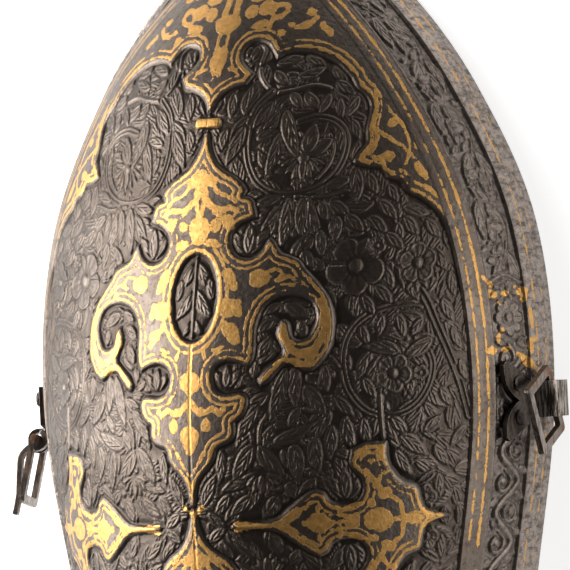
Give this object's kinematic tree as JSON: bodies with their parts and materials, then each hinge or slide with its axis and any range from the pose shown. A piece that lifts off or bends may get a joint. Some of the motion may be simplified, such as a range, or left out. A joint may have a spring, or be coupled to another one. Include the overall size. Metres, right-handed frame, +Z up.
{
  "type": "arm guard",
  "caption": "Armour guard for the forearm: tapering half-round steel plate with a closed, pointed elbow end, raised cartouches, stepped borders and hinged strap fittings.",
  "frame": {"origin": "middle of the whole object's footprint, on the surface that its two long rims lie on", "axes": "+X across the arm towards the strap frame's side, +Y along the arm towards the pointed elbow end, +Z up through the crown"},
  "size_m": [0.1214, 0.3, 0.0519],
  "materials": {
    "chiselled_steel": "dark chiselled steel with worn gold overlay on the raised lines and brown tarnish in the hollows",
    "fitting_steel": "hand-filed dark steel with rust-brown edges",
    "rivet_iron": "dull dark iron"
  },
  "bodies": {
    "guard": {"guard_plate": "chiselled_steel", "right_strap_plate": "fitting_steel", "right_rivet_1": "rivet_iron", "right_rivet_2": "rivet_iron", "left_hinge_plate": "fitting_steel", "left_rivet_1": "rivet_iron", "left_rivet_2": "rivet_iron"},
    "strap_frame": {"right_strap_frame": "fitting_steel"},
    "buckle": {"left_buckle": "fitting_steel"},
    "tongue": {"left_tongue": "fitting_steel"}
  },
  "joints": [
    {"name": "strap_frame_hinge", "type": "hinge", "parent": "guard", "child": "strap_frame", "pos_m": [0.05846, 0.0504, 0.0044], "axis": [0, 0.9063, 0.4226], "range_deg": [-4, 160]},
    {"name": "buckle_hinge", "type": "hinge", "parent": "guard", "child": "buckle", "pos_m": [-0.05641, 0.0461, 0.01058], "axis": [-0.2845, -0.1392, -0.9485], "range_deg": [-8, 99]},
    {"name": "tongue_hinge", "type": "hinge", "parent": "buckle", "child": "tongue", "pos_m": [-0.05641, 0.0461, 0.01058], "axis": [-0.2845, -0.1392, -0.9485], "range_deg": [0, 45]}
  ]
}
